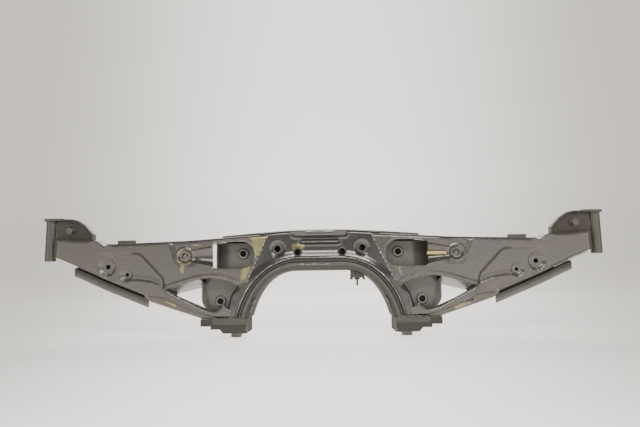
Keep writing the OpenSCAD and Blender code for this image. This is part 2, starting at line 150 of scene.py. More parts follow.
def pressed_sheet(outline, holes, depth, step=1.9, rows=(), thick=sheet, face=-1, marks=None):
    """A sheet cut to an outline and pressed.

    depth gives the show face, which looks along -Y or +Y as face says."""
    slope_step, steepest, wear_width = 0.25, 2.5, 7
    outline = np.array(outline, float)
    loops = [resample(outline, step)] + [np.array(h, float) for h in holes]
    lo, hi = outline.min(0), outline.max(0)
    gx, gz = np.meshgrid(np.arange(lo[0], hi[0], step), np.arange(lo[1], hi[1], step))
    gx = gx + (np.arange(gx.shape[0]) % 2)[:, None] * step / 2
    grid = np.stack([gx.ravel(), gz.ravel()], 1)
    grid = grid[in_metal(outline, holes, grid)]
    grid = grid[from_edges(loops, grid) > 0.55 * step]
    extra = []
    for line, r in rows:
        line = np.array(line, float)
        near = reach(line, grid)[0] < 1.05 * r
        grid = grid[~near]
        extra += fold_rows(line, r, step, outline, holes)
    pts = np.concatenate(loops + [grid] + extra)
    edges, start = [], 0
    for loop in loops:
        n = len(loop)
        edges += [(start + i, start + (i + 1) % n) for i in range(n)]
        start += n
    flat = geometry.delaunay_2d_cdt([Vector(p) for p in pts], edges, [], 0, 1e-4)
    p = np.array([(v.x, v.y) for v in flat[0]])
    tri = np.array(flat[2])
    tri = tri[in_metal(outline, holes, p[tri].mean(1))]
    area = np.cross(p[tri[:, 1]] - p[tri[:, 0]], p[tri[:, 2]] - p[tri[:, 0]])
    tri = tri[np.abs(area) > 1e-6]
    area = area[np.abs(area) > 1e-6]
    tri[area < 0] = tri[area < 0][:, ::-1]
    x, z, h = p[:, 0], p[:, 1], slope_step
    gx = np.clip((depth(x + h, z) - depth(x - h, z)) / (2 * h), -steepest, steepest)
    gz = np.clip((depth(x, z + h) - depth(x, z - h)) / (2 * h), -steepest, steepest)
    norm = np.sqrt(1 + gx * gx + gz * gz)
    top = np.stack([x, depth(x, z), z], 1)
    into = np.stack([-gx, np.ones(len(p)), -gz], 1) / norm[:, None]
    low = top - face * thick * into
    n = len(p)
    sides = dict.fromkeys((int(t[i]), int(t[(i + 1) % 3])) for t in tri for i in range(3))
    faces = [tuple(map(int, t)) for t in tri]
    faces += [tuple(int(i) + n for i in t[::-1]) for t in tri]
    faces += [(b, a, a + n, b + n) for a, b in sides if (b, a) not in sides]
    if face > 0:
        faces = [f[::-1] for f in faces]
    edge = 1 - smooth(0, wear_width, from_edges(loops, p))
    scorch_and_shade = marks(x, z) if marks else np.zeros(n)
    return np.vstack([top, low]), faces, np.tile(edge, 2), np.tile(scorch_and_shade, 2)


def swept(rings, worn=0.35):
    """A solid skinned over a row of equal rings of points."""
    rings = [np.array(r, float) for r in rings]
    m, n = len(rings), len(rings[0])
    verts = np.concatenate(rings)
    faces = []
    for i in range(m - 1):
        for j in range(n):
            q = (j + 1) % n
            faces.append((i * n + j, i * n + q, (i + 1) * n + q, (i + 1) * n + j))
    faces.append(tuple(range(n))[::-1])
    faces.append(tuple((m - 1) * n + j for j in range(n)))
    return verts, faces, np.full(len(verts), worn), np.zeros(len(verts))


def line_sides(line):
    """The mitred side direction at each point of an open line."""
    line = np.array(line, float)
    d = np.diff(line, axis=0)
    d /= np.hypot(d[:, 0], d[:, 1])[:, None]
    a = np.vstack([d[:1], d])
    b = np.vstack([d, d[-1:]])
    na, nb = np.stack([a[:, 1], -a[:, 0]], 1), np.stack([b[:, 1], -b[:, 0]], 1)
    s = na + nb
    s /= np.hypot(s[:, 0], s[:, 1])[:, None]
    return s / np.maximum((s * na).sum(1), 0.35)[:, None]


def beside(line, d):
    return np.array(line, float) + d * line_sides(line)


def flange(line, y0, y1, t):
    """A folded strip along an outline, from one depth to another, t thick to its right."""
    r = min(abs(t) * 0.3, 0.9)
    rings = []
    for o, i in zip(np.array(line, float), beside(line, t)):
        a, b = o + (i - o) * 0.25, o + (i - o) * 0.75
        rings.append([(o[0], y0, o[1]), (o[0], y1 - r, o[1]), (a[0], y1, a[1]),
                      (b[0], y1, b[1]), (i[0], y1 - r, i[1]), (i[0], y0, i[1])])
    return swept(rings)


def mirrored(part):
    v, f, e, h = part
    return v * np.array([-1, 1, 1]), [g[::-1] for g in f], e, h


def faces_outward(mesh):
    """All the faces of a closed body look outwards."""
    bm = bmesh.new()
    bm.from_mesh(mesh)
    bmesh.ops.recalc_face_normals(bm, faces=bm.faces)
    bm.to_mesh(mesh)
    bm.free()


def piece(name, parts, material, sharp=38):
    """One object from several bodies of metal that are welded or pressed together."""
    mesh = bpy.data.meshes.new(name)
    verts, faces, edge, scorch_and_shade, base = [], [], [], [], 0
    for v, f, e, h in parts:
        verts.append(np.array(v) * mm)
        faces += [tuple(i + base for i in g) for g in f]
        edge.append(e)
        scorch_and_shade.append(h)
        base += len(v)
    mesh.from_pydata(np.concatenate(verts).tolist(), [], faces)
    for key, values in (("edge", edge), ("scorch_and_shade", scorch_and_shade)):
        layer = mesh.attributes.new(key, "FLOAT", "POINT")
        layer.data.foreach_set("value", np.concatenate(values).astype(np.float32))
    mesh.update()
    faces_outward(mesh)
    mesh.shade_smooth()
    mesh.set_sharp_from_angle(angle=math.radians(sharp))
    mesh.materials.append(material)
    obj = bpy.data.objects.new(name, mesh)
    bpy.context.scene.collection.objects.link(obj)
    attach(obj, "root")
    return obj


def feed(tree, sock, val):
    """A socket takes what another step gives, or a plain number or colour."""
    if hasattr(val, "is_output"):
        tree.links.new(val, sock)
    else:
        sock.default_value = val if isinstance(val, (int, float)) else (*val, 1)


def reckon(tree, how, a, b):
    m = tree.nodes.new("ShaderNodeMath")
    m.operation = how
    feed(tree, m.inputs[0], a)
    feed(tree, m.inputs[1], b)
    return m.outputs[0]


def coat(name, tint, warm, dark, rough, metal=0.5, grain=1.0, cloud=11, gloss=0.3):
    """A thin dip coat over steel sheet: soft shifts of tint, stains, fine grain, worn edges.

    The mark on a sheet is gold heat colour where it is above nought, and painted shade in a fold
    where it is below."""
    mat = bpy.data.materials.new(name)
    mat.use_nodes = True
    tree = mat.node_tree
    bsdf = tree.nodes["Principled BSDF"]
    bsdf.inputs["Metallic"].default_value = metal
    bsdf.inputs["Specular IOR Level"].default_value = 0.25 + 0.8 * gloss
    bsdf.inputs["Coat Weight"].default_value = gloss
    bsdf.inputs["Coat Roughness"].default_value = 0.2
    where = tree.nodes.new("ShaderNodeTexCoord").outputs["Object"]

    def noise(scale, detail, coarse, squash=None):
        n = tree.nodes.new("ShaderNodeTexNoise")
        n.inputs["Scale"].default_value = scale
        n.inputs["Detail"].default_value = detail
        n.inputs["Roughness"].default_value = coarse
        src = where
        if squash:
            m = tree.nodes.new("ShaderNodeMapping")
            m.inputs["Scale"].default_value = squash
            tree.links.new(where, m.inputs["Vector"])
            src = m.outputs["Vector"]
        tree.links.new(src, n.inputs["Vector"])
        return n.outputs["Fac"]

    def ramp(src, stops):
        r = tree.nodes.new("ShaderNodeValToRGB")
        while len(r.color_ramp.elements) < len(stops):
            r.color_ramp.elements.new(0.5)
        for el, (pos, col) in zip(r.color_ramp.elements, stops):
            el.position = pos
            el.color = (col, col, col, 1) if isinstance(col, (int, float)) else (*col, 1)
        tree.links.new(src, r.inputs["Fac"])
        return r.outputs["Color"]

    def spots(src, low, high):
        return ramp(src, [(low, 0.0), (high, 1.0)])

    def mix(fac, a, b):
        m = tree.nodes.new("ShaderNodeMix")
        m.data_type = "RGBA"
        for sock, val in ((m.inputs[0], fac), (m.inputs[6], a), (m.inputs[7], b)):
            feed(tree, sock, val)
        return m.outputs[2]

    def times(a, b):
        return reckon(tree, "MULTIPLY", a, b)

    def attribute(key):
        a = tree.nodes.new("ShaderNodeAttribute")
        a.attribute_name = key
        return a.outputs["Fac"]

    def bump(height, strength, distance):
        b = tree.nodes.new("ShaderNodeBump")
        b.inputs["Strength"].default_value = strength * grain
        b.inputs["Distance"].default_value = distance
        tree.links.new(height, b.inputs["Height"])
        return b

    pale = [c * 1.5 for c in tint]
    bare = [min(1, c * 1.9 + 0.03) for c in tint]
    shade_colour = [c * 0.3 for c in dark]
    colour = mix(spots(noise(cloud, 3, 0.5), 0.3, 0.7), tint, warm)
    colour = mix(times(spots(noise(34, 5, 0.62), 0.54, 0.78), 0.16), colour, dark)
    colour = mix(times(spots(noise(260, 3, 0.6), 0.4, 0.75), 0.14), colour, pale)
    streak = spots(noise(9, 4, 0.6, (14, 1, 1.2)), 0.6, 0.72)
    colour = mix(times(streak, 0.16), colour, dark)
    gold = ramp(noise(75, 4, 0.65), [(0.3, (0.30, 0.235, 0.085)), (0.5, (0.44, 0.375, 0.17)),
                                     (0.72, (0.24, 0.19, 0.095))])
    burnt = reckon(tree, "ADD", attribute("scorch_and_shade"), times(noise(48, 6, 0.75), 1.5))
    colour = mix(times(spots(times(burnt, 0.5), 0.58, 0.72), 0.85), colour, gold)
    # Where the mark is below nought the coat darkens towards a dark tone: painted shade.
    painted_shade = times(attribute("scorch_and_shade"), -0.8)
    painted_shade.node.use_clamp = True
    colour = mix(painted_shade, colour, shade_colour)
    worn = times(attribute("edge"), spots(noise(120, 4, 0.7), 0.45, 0.68))
    colour = mix(times(worn, 0.5), colour, bare)
    tree.links.new(colour, bsdf.inputs["Base Color"])
    sheen = ramp(noise(48, 4, 0.6), [(0.3, rough - 0.03), (0.7, rough + 0.05)])
    tree.links.new(sheen, bsdf.inputs["Roughness"])
    fine = bump(noise(1500, 2, 0.6), 0.035, 0.0004)
    wave = bump(noise(38, 2, 0.5), 0.09, 0.0015)
    tree.links.new(wave.outputs["Normal"], fine.inputs["Normal"])
    tree.links.new(fine.outputs["Normal"], bsdf.inputs["Normal"])
    return mat


def flip(line):
    return np.array(line)[::-1] * np.array([-1, 1])


centre_coat = coat("centre_coat", (0.1, 0.097, 0.092), (0.104, 0.096, 0.084),
                   (0.051, 0.047, 0.042), rough=0.21, metal=0.7, grain=0.5)
arch_outer = curve((40, -92), (100, -92), (150, -138), (164, -211))
arch_line = np.vstack([flip(arch_outer), arch_outer])
leg_line = [(162.5, -137), (165, -143), (178, -161), (182, -174), (188, -197.5), (190, -197.5),
            (190, -216)]
leg_edge, leg_turn = leg_line[:5], leg_line[1:5]
panel_top = curve((-119, -39), (-50, -31.5), (50, -31.5), (119, -39))
panel_half = np.vstack([leg_line, [(166, -216)], arch_outer[::-1]])
panel_outline = np.vstack([panel_top, panel_half, flip(panel_half)])
top_roll, leg_roll = 7, 11
# The two beads: height, half length and half width
beads = ((-43.0, 50.0, 6.8), (-57.5, 36.0, 6.0))
bead_deep, bead_rise = 4.6, 0.6
lip_flare, bush_sink = 3.6, 1.8
# Slight swells that the press leaves in the legs: place, half width, half height, how far out
leg_swells = ((169.0, -154.0, 6.0, 10.0, 0.7), (175.0, -183.0, 7.0, 10.0, 0.9))


def centre_depth(x, z):
    p = np.stack([x, z], 1)
    y = np.full(len(x), centre_front)
    y = y + roll(reach(panel_top, p)[0], top_roll)
    for bz, half, w in beads:
        d = reach([(-half, bz), (half, bz)], p)[0]
        y = y + bead_deep * smooth(w, 0.4, d) - bead_rise * np.exp(-((d - w - 0.6) / 1.4) ** 2)
    lip = reach(arch_line, p)[0]
    flare = lip_flare * smooth(19, 3, lip) * smooth(-205, -192, z)
    y = y - flare * (0.5 + 0.5 * smooth(-150, -120, z))
    for s in (-1, 1):
        hole = np.hypot(x - s * outer_bush[0], z - outer_bush[1])
        y = y + bush_sink * smooth(17, 11, hole)
        edge = reach([(s * a, b) for a, b in leg_edge], p)[0]
        y = y + roll(edge, leg_roll) * smooth(-136, -146, z)
        for wx, wz, rx, rz, high in leg_swells:
            y = y - high * np.exp(-((x - s * wx) / rx) ** 2 - ((z - wz) / rz) ** 2)
    return y


def patch(loop, p, soft):
    """Full in the middle of a patch, and fading over a soft margin on both sides of its edge."""
    loop = np.array(loop, float)
    d = reach(closed(loop), p)[0]
    return smooth(-soft, 0.7 * soft, np.where(inside(loop, p), d, -d))


def centre_scorch(x, z):
    p = np.stack([x, z], 1)
    return np.maximum(patch([(-54, -62), (-33, -62), (-33, -76), (-52, -86)], p, 9),
                      0.9 * patch([(83, -91), (97, -96), (99, -98.5), (84, -94)], p, 4))


bush_holes = [circle(s * b[0], b[1], bush_r) for b in (outer_bush, inner_bush) for s in (-1, 1)]
leg_wall = flange(leg_turn, centre_front + 10.5, 3.5, sheet)
centre_panel = piece("centre_front_panel_pressing", [
    pressed_sheet(panel_outline, bush_holes, centre_depth, step=1.4,
                  rows=[(panel_top, top_roll)], marks=centre_scorch),
    flange(panel_top, centre_front + 5.8, centre_rear - sheet, sheet),
    leg_wall,
    mirrored(leg_wall),
], centre_coat)
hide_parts("centre_front_panel")


# A curved strip, channel-shaped in section, that closes the arch from front to rear. Its front
# edge is rolled forward into a lip, and it is seam-welded to both centre panels.
# The section runs from the outer line of the arch (0) to the inner one (1), with the depth.
rim_section = [(-0.3, -33.2), (-0.27, -36.6), (-0.22, -40.0), (-0.17, -41.6), (-0.11, -42.0),
               (-0.06, -41.0), (-0.03, -38.0), (0.01, -35.2), (0.08, -34.0), (0.18, -34.2),
               (0.23, -36.2), (0.27, -38.4), (0.33, -39.3), (0.5, -39.0), (0.57, -38.2),
               (0.66, -35.8), (0.84, -31.5), (0.95, -29.4), (1.0, -26.0), (1.0, 33.5),
               (0.97, 35.6), (0.86, 36.0), (-0.24, 36.0), (-0.24, 33.2), (0.7, 33.0),
               (0.84, 31.0), (0.86, 27.0), (0.86, -24.0), (0.8, -27.0), (0.6, -31.0),
               (0.2, -31.5)]
slope_first, slope_last = 14, 17
tunnel_start = -26
arch_inner = curve((50, -114.5), (105, -114.5), (136, -165), (148, -236))
arch_in_line = np.vstack([flip(arch_inner), arch_inner])
foot_top = -205.0
rim_points = 121


def along(line, n):
    line = np.array(line, float)
    d = np.concatenate([[0], np.cumsum(np.hypot(*np.diff(line, axis=0).T))])
    t = np.linspace(0, d[-1], n)
    return np.stack([np.interp(t, d, line[:, 0]), np.interp(t, d, line[:, 1])], 1)


def cut_low(line, z):
    """The part of an arch line above a height, with its ends on that height."""
    line = np.array(line, float)
    keep = line[line[:, 1] > z]
    ends = []
    for a, b in ((line[0], line[1:]), (line[-1], line[:-1][::-1])):
        prev = a
        for q in b:
            if q[1] > z:
                ends.append(prev + (q - prev) * (z - prev[1]) / (q[1] - prev[1]))
                break
            prev = q
    return np.vstack([ends[0], keep, ends[1]])


rim_out = along(cut_low(arch_line, foot_top), rim_points)
rim_in = along(cut_low(arch_in_line, foot_top), rim_points)
rim_rings = [[(o[0] + (i[0] - o[0]) * s, y, o[1] + (i[1] - o[1]) * s) for s, y in rim_section]
             for o, i in zip(rim_out, rim_in)]
rim_coat = coat("rim_coat", (0.085, 0.08, 0.072), (0.092, 0.081, 0.067),
                (0.042, 0.038, 0.032), rough=0.33, gloss=0.1)
# Two darker coats are painted shade: one on the faces of the strip inside the tunnel, one on its
# inner slope.
tunnel_shade_coat = coat("tunnel_shade_coat", (0.04, 0.037, 0.033), (0.044, 0.038, 0.032),
                   (0.02, 0.018, 0.016), rough=0.7, metal=0.2, gloss=0.0)
slope_shade_coat = coat("slope_shade_coat", (0.046, 0.043, 0.038), (0.05, 0.044, 0.036),
                  (0.023, 0.021, 0.018), rough=0.5, metal=0.3, gloss=0.05)
rim = piece("arch_rim_strip", [swept(rim_rings)], rim_coat, sharp=50)
rim.data.materials.append(tunnel_shade_coat)
rim.data.materials.append(slope_shade_coat)
for face in rim.data.polygons:
    if face.center.y > tunnel_start * mm:
        face.material_index = 1
    elif slope_first <= face.index % len(rim_section) <= slope_last:
        face.material_index = 2
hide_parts("arch_rim")


# The front half of each arm box: one pressing from the seam at the centre box out to the mount
# sleeve, with a window for the link bolt, a trough and dimple, a crease, dished pads, and the
# strut to the foot. Its outer end is turned back to the sleeve, its lower edge is hemmed.
panel_coat = coat("panel_coat", (0.13, 0.122, 0.112), (0.14, 0.124, 0.103),
                  (0.07, 0.063, 0.054), rough=0.25, metal=0.62, grain=0.7)
mount_x = 560.0
arm_end = mount_x - 32
arm_top = [(104, -42.5), (130, -43.9), (196, -47.3), (265, -51.8), (425, -56.5), (432.5, -61),
           (443, -53), (454, -47.5), (494, -46.5), (arm_end, -42)]
arm_crest = [(120.4, -43.4)] + arm_top[1:]
arm_low = [(arm_end, -82.4), (480, -102.7), (434, -123.8), (351, -157.3)]
hem_low = [(350, -164), (338, -172.5), (300, -185), (265, -196), (238, -205), (230, -211),
           (177, -215)]
strut_fold = [(352, -156.6), (341, -160), (311, -162.5), (283, -175.5), (255, -187),
              (230, -196), (206, -201), (176, -201.5)]
strut_up = [(177, -190), (184, -186), (188.5, -181), (191.5, -177.5), (195.5, -182),
            (200, -187), (206, -190.5), (213, -191.8), (224, -189.5), (237, -184.5),
            (289, -157.5), (303, -150.5)]
inner_low = np.vstack([curve((306, -148), (268, -137), (240, -126), (212, -127.5), 16),
                       curve((212, -127.5), (190, -128), (180, -137), (163, -140.5), 12)[1:]])
seam = [(147.5, -137), (104, -42.5)]
arm_outline = np.vstack([arm_top, arm_low, hem_low, strut_up, inner_low, seam[:1]])
crease = [(301, -166), (306, -148), (308, -142), (313, -124.5), (354, -82), (362, -77),
          (376, -76), (420, -76)]
lower_crease = [(300, -150), (318, -139), (338, -131), (364, -127), (380, -127)]
facet_line = [(303, -58), (285, -103)]
window_in, window_out, window_top, window_low = 156.0, 214.0, -55.5, -107.5
window_mid = (window_top + window_low) / 2
window_r = (window_top - window_low) / 2
window_corner = 8.0
dimple = (270.0, -83.0)
trough_wide, trough_narrow, trough_end = 20.0, 10.5, 264
# The dished pads: place, radius and radius of the hole
pads = ((424.0, -102.0, 19.0, 4.5), (386.0, -118.0, 15.0, 3.5))
field_deep, tip_deep, facet_deep, strut_deep = 3.4, 1.6, 1.8, 6.0
pad_deep, pad_groove = 3.6, 2.2
dimple_deep, dimple_boss, dimple_rim = 4.4, 3.4, 1.3
# Radii of the rolled edges; in the notch of the top edge the radius is less by notch_less
top_edge_r, notch_less, low_edge_r, hem_r = 6, 3.8, 5, 2.5
strut_r, window_edge_r, lip_r = 4, 2.5, 3


def arc(x, z, r, first, last, n=9):
    a = np.radians(np.linspace(first, last, n))
    return np.stack([x + r * np.cos(a), z + r * np.sin(a)], 1)


corner_x = window_out - window_corner
window_loop = np.vstack([
    arc(window_in, window_mid, window_r, 90, 270, 33),
    arc(corner_x, window_low + window_corner, window_corner, -90, 0),
    arc(corner_x, window_top - window_corner, window_corner, 0, 90)])


def trough_depth(x, z):
    r = np.interp(x, [window_out, trough_end], [trough_wide, trough_narrow])
    t = np.clip(1 - ((z - dimple[1]) / r) ** 2, 0, 1)
    return 0.55 * r * np.sqrt(t + 1e-6) * smooth(272, 254, x) * (x > window_in)


def arm_depth(x, z):
    p = np.stack([x, z], 1)
    y = np.full(len(x), front)
    d, left = reach(crease, p)
    field = smooth(-1.0, 4.2, -left * d)
    y = (y + field_deep * field * smooth(452, 350, x)
         + tip_deep * smooth(205, 188, x) * smooth(-150, -165, z))
    d, left = reach(facet_line, p)
    y = y + (facet_deep * smooth(0, 9, -left * d) * smooth(-106, -94, z)
             * smooth(236, 262, x) * (x < 305))
    d = reach(lower_crease, p)[0]
    fold = 1.5 * np.exp(-(d / 1.6) ** 2) - 0.5 * np.exp(-((d - 4) / 2) ** 2)
    y = y + fold * smooth(382, 366, x) * smooth(302, 312, x)
    d, left = reach(strut_fold, p)
    y = y + strut_deep * smooth(0.0, 2.6, left * d) * (x < 352) * (z < -150)
    y = y + trough_depth(x, z)
    rho = np.hypot(x - dimple[0], z - dimple[1])
    y = (y + dimple_deep * smooth(14.5, 9, rho) - dimple_boss * smooth(8, 2, rho)
         - dimple_rim * np.exp(-((rho - 15.5) / 2.2) ** 2))
    for px, pz, r, _ in pads:
        y = y + pad_deep * smooth(r, r - 7.5, np.hypot(x - px, z - pz))
    y = y + pad_groove * smooth(9, 5, np.abs(x - pads[0][0] + 2)) * smooth(-110, -117, z)
    notch = notch_less * smooth(412, 424, x) * smooth(468, 454, x)
    y = y + roll(reach(arm_top, p)[0], top_edge_r - notch)
    y = y + roll(reach(arm_low, p)[0], low_edge_r)
    y = y + roll(reach(hem_low, p)[0], hem_r) * 0.9
    y = y + roll(reach(strut_up, p)[0], strut_r) * 0.9 * (z < -152)
    y = y + roll(reach(closed(window_loop), p)[0], window_edge_r) * 0.9
    lip = reach(inner_low, p)[0]
    return y + roll(lip, lip_r) * 0.8 - 0.9 * np.exp(-((lip - 5) / 2.6) ** 2)


def painted_fold_shade(x, z):
    """Painted shade in the crease, in the lower crease, under the trough and along the lower
    edges.
    """
    p = np.stack([x, z], 1)
    under_trough = [(214, -86), (258, -86), (256, -91), (214, -101)]
    d = np.exp(-((reach(crease[1:-1], p)[0] - 0.6) / 1.9) ** 2) * smooth(392, 366, x)
    low = 0.55 * np.exp(-(reach(lower_crease, p)[0] / 1.5) ** 2)
    d = np.maximum(d, low * smooth(384, 370, x) * smooth(298, 306, x))
    d = np.maximum(d, 0.6 * patch(under_trough, p, 5))
    d = np.maximum(d, 0.75 * smooth(4.5, 1.5, reach(arm_low, p)[0]) * smooth(430, 455, x))
    return np.maximum(d, 0.6 * smooth(4, 1.5, reach(inner_low, p)[0]))


def left_scorch_and_shade(x, z):
    """Gold by the seam, by the dimple, at the top edge and on the strut; painted shade by the
    facet and in the folds.
    """
    p = np.stack([x, z], 1)
    h = patch([(138, -46), (106, -46), (111, -63), (134, -96), (144, -116), (157, -138),
               (155, -112), (131, -77)], p, 9)
    h = np.maximum(h, 0.9 * patch([(277, -101), (271, -101), (272, -117), (277, -115)], p, 4))
    h = np.maximum(h, 0.8 * patch([(236, -60), (256, -60), (256, -63), (236, -63)], p, 4))
    rho = np.hypot(x - dimple[0], z - dimple[1])
    h = np.maximum(h, 0.62 * np.exp(-((rho - 14.0) / 2.2) ** 2))
    h = np.maximum(h, patch([(312, -171), (303, -176), (288, -182), (287, -179),
                             (303, -173)], p, 4))
    facet_shade = 0.5 * patch([(303, -60), (290, -62), (286, -98), (289, -98)], p, 3)
    return h - np.maximum(painted_fold_shade(x, z), facet_shade)


def right_scorch_and_shade(x, z):
    """Gold beside the seam and along the strut, below its slot; painted shade in the folds."""
    p = np.stack([x, z], 1)
    h = np.maximum(0.8 * patch([(152, -108), (157, -110), (163, -126), (158, -127)], p, 5),
                   patch([(262, -189), (292, -179), (293, -182), (264, -193)], p, 4))
    return h - painted_fold_shade(x, z)


def upright(part):
    """A strip made in plan and stood up on its edge."""
    v, f, e, h = part
    return v[:, [0, 2, 1]], [g[::-1] for g in f], e, h


def handed(hand, parts):
    """Bodies drawn for the right side, mirrored for the left."""
    return [mirrored(q) for q in parts] if hand == "left" else parts


half_lap = 6
wall_front, wall_rear = front + 2.5, rear - sheet
under_wall = [[(x, wall_front, z), (x, wall_rear, low), (x, wall_rear, low + sheet),
               (x, wall_front, z + sheet)]
              for x, z in inner_low if 236 < x < 305
              for low in [np.interp(x, [244, 304], [-144.8, -159])]]
trough_edges = [[(window_out + 1, dimple[1] + s * 19.8), (262, dimple[1] + s * 10.9)]
                for s in (-1, 1)]
# Lines that the mesh follows, each with the width of the fold
arm_rows = [(arm_top, 5), (arm_low, 5), (crease[1:-1], 3.2), (lower_crease[1:], 2.4),
            (strut_fold[1:], 2.8)]
arm_rows += [(line, 1.8) for line in trough_edges]
arm_holes = [window_loop] + [circle(px, pz, hr, 24) for px, pz, _, hr in pads]
slot = np.vstack([arc(284, -179, 2.6, 115, 295), arc(299, -172.5, 2.6, -65, 115)])
end_turn = [(arm_end - 1, front + 1.6), (arm_end + 5, front + 3.5), (arm_end + 10, front + 9),
            (arm_end + 15, front + 20), (mount_x - 12, front + 30)]
end_low, end_top = -81.5, -44
for hand, scorch_and_shade_at, holes in (("left", left_scorch_and_shade, arm_holes),
                               ("right", right_scorch_and_shade, arm_holes + [slot])):
    parts = [pressed_sheet(arm_outline, holes, arm_depth, rows=arm_rows, marks=scorch_and_shade_at),
             flange(arm_crest, front + 5.8, half_lap, sheet),
             flange(arm_low, front + 4.8, half_lap, sheet),
             swept(under_wall, 0.0),
             upright(flange(end_turn, end_low, end_top, -sheet))]
    arm = piece("arm_front_pressing_" + hand, handed(hand, parts), panel_coat)
    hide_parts("arm_front_panel_" + hand)


# The rear half of each arm box: a flatter pressing with a window, a long stiffening bead and
# turned edges, welded to the front half where they lap. A saddle from its outer end goes round
# the mount sleeve, and a small tab stands on its top edge.
rear_coat = coat("rear_coat", (0.115, 0.107, 0.097), (0.122, 0.105, 0.083),
                 (0.055, 0.049, 0.041), rough=0.38)
rear_top = beside(arm_crest, sheet)
rear_low = beside(arm_low, -sheet)
rear_outline = np.vstack([[(104, rear_top[0][1])], rear_top, rear_low,
                          [(350, -170), (294, -194.5), (236, -212), (236, -192), (304, -163),
                           (304, -159), (244, -144.8), (163, -141), (147.5, -137)]])
rear_window = np.vstack([arc(206, -106, 10, 180, 270), arc(238, -104, 12, -90, 0),
                         arc(238, -66.5, 12, 0, 90), arc(206, -64.5, 10, 90, 180)])
rear_bead = [(300, -92), (470, -76)]
rear_bead_deep, rear_edge_r, rear_window_r = 2.8, 5, 2.8


def rear_depth(x, z):
    p = np.stack([x, z], 1)
    y = np.full(len(x), rear)
    y = y - rear_bead_deep * smooth(13, 7, reach(rear_bead, p)[0])
    y = y - roll(reach(rear_top, p)[0], rear_edge_r)
    y = y - roll(reach(rear_low, p)[0], rear_edge_r)
    return y - roll(reach(closed(rear_window), p)[0], rear_window_r)


sleeve_r = 11
saddle_r = sleeve_r + sheet
saddle = np.vstack([[(arm_end - 22, rear - 2), (mount_x - 22, 17)],
                    arc(mount_x, 0, saddle_r, 150, 30, 13)])
saddle_low, saddle_top = -78, -50
tab_line = [(386, -46), (424, -46)]
tab_front, tab_rear, tab_high = 8, 11, 14
for hand in ("left", "right"):
    parts = [pressed_sheet(rear_outline, [rear_window], rear_depth, step=2.6, face=1,
                           rows=[(rear_top, rear_edge_r)]),
             flange(rear_top, -half_lap, rear - 4.8, sheet),
             flange(arm_low, -half_lap, rear - 4.8, -sheet),
             flange(tab_line, tab_front, tab_rear, tab_high),
             upright(flange(saddle, saddle_low, saddle_top, sheet))]
    arm = piece("arm_rear_pressing_" + hand, handed(hand, parts), rear_coat)
    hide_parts("arm_rear_panel_" + hand)


# An angle rail under each arm: folded strip with a joggle that leaves a dark groove below the
# arm's edge, stitch-welded to it.
# The section gives the distance below the arm's lower edge, with the depth.
rail_section = [(3.2, 22.0), (3.2, 15.0), (4.0, 13.0), (6.0, 12.2), (8.6, 12.0), (9.6, 11.0),
                (9.9, 9.0), (10.1, 3.0), (10.6, 0.8), (12.0, 0.0), (25.4, 0.0), (26.0, 0.7),
                (26.0, 2.4), (25.4, 3.0), (13.4, 3.2), (13.1, 13.0), (12.0, 15.0),
                (6.6, 15.2), (6.3, 16.0), (6.3, 22.0)]
rail_coat = coat("rail_coat", (0.16, 0.151, 0.137), (0.168, 0.15, 0.124),
                 (0.085, 0.077, 0.066), rough=0.3, metal=0.55)
rail_line = [(508, -90.86)] + arm_low[1:3] + [(352, -156.9)]
down = line_sides(rail_line)
down[[0, -1]] = [(0, 1 / down[0][1]), (0, 1 / down[-1][1])]
rail_rings = [[(q[0] - n[0] * d, y, q[1] - n[1] * d) for d, y in rail_section]
              for q, n in zip(np.array(rail_line), down)]
for hand in ("left", "right"):
    rail = piece("lower_rail_strip_" + hand, handed(hand, [swept(rail_rings)]), rail_coat)
    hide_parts("lower_rail_" + hand)


# The rear panel of the centre box, the link brackets, the feet and the end gussets: folded from
# the same sheet, with sheared edges that the tumbling has eased, and welded on.
# A thin strip laps the front of each foot.
def dress(node, material, ease=0.7):
    """A solid of the frame with its own coat and eased edges."""
    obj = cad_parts[node]
    obj.data.materials.clear()
    obj.data.materials.append(material)
    weld = obj.modifiers.new("weld", "WELD")
    weld.merge_threshold = 0.00001
    flat = obj.modifiers.new("flat", "DECIMATE")
    flat.decimate_type = "DISSOLVE"
    flat.angle_limit = math.radians(1)
    bevel = obj.modifiers.new("eased", "BEVEL")
    bevel.width = ease * mm
    bevel.segments = 2
    bevel.limit_method = "ANGLE"
    bevel.angle_limit = math.radians(38)
    even = obj.modifiers.new("even", "WEIGHTED_NORMAL")
    even.keep_sharp = True
    obj.data.shade_smooth()
    obj.data.set_sharp_from_angle(angle=math.radians(40))
    return obj


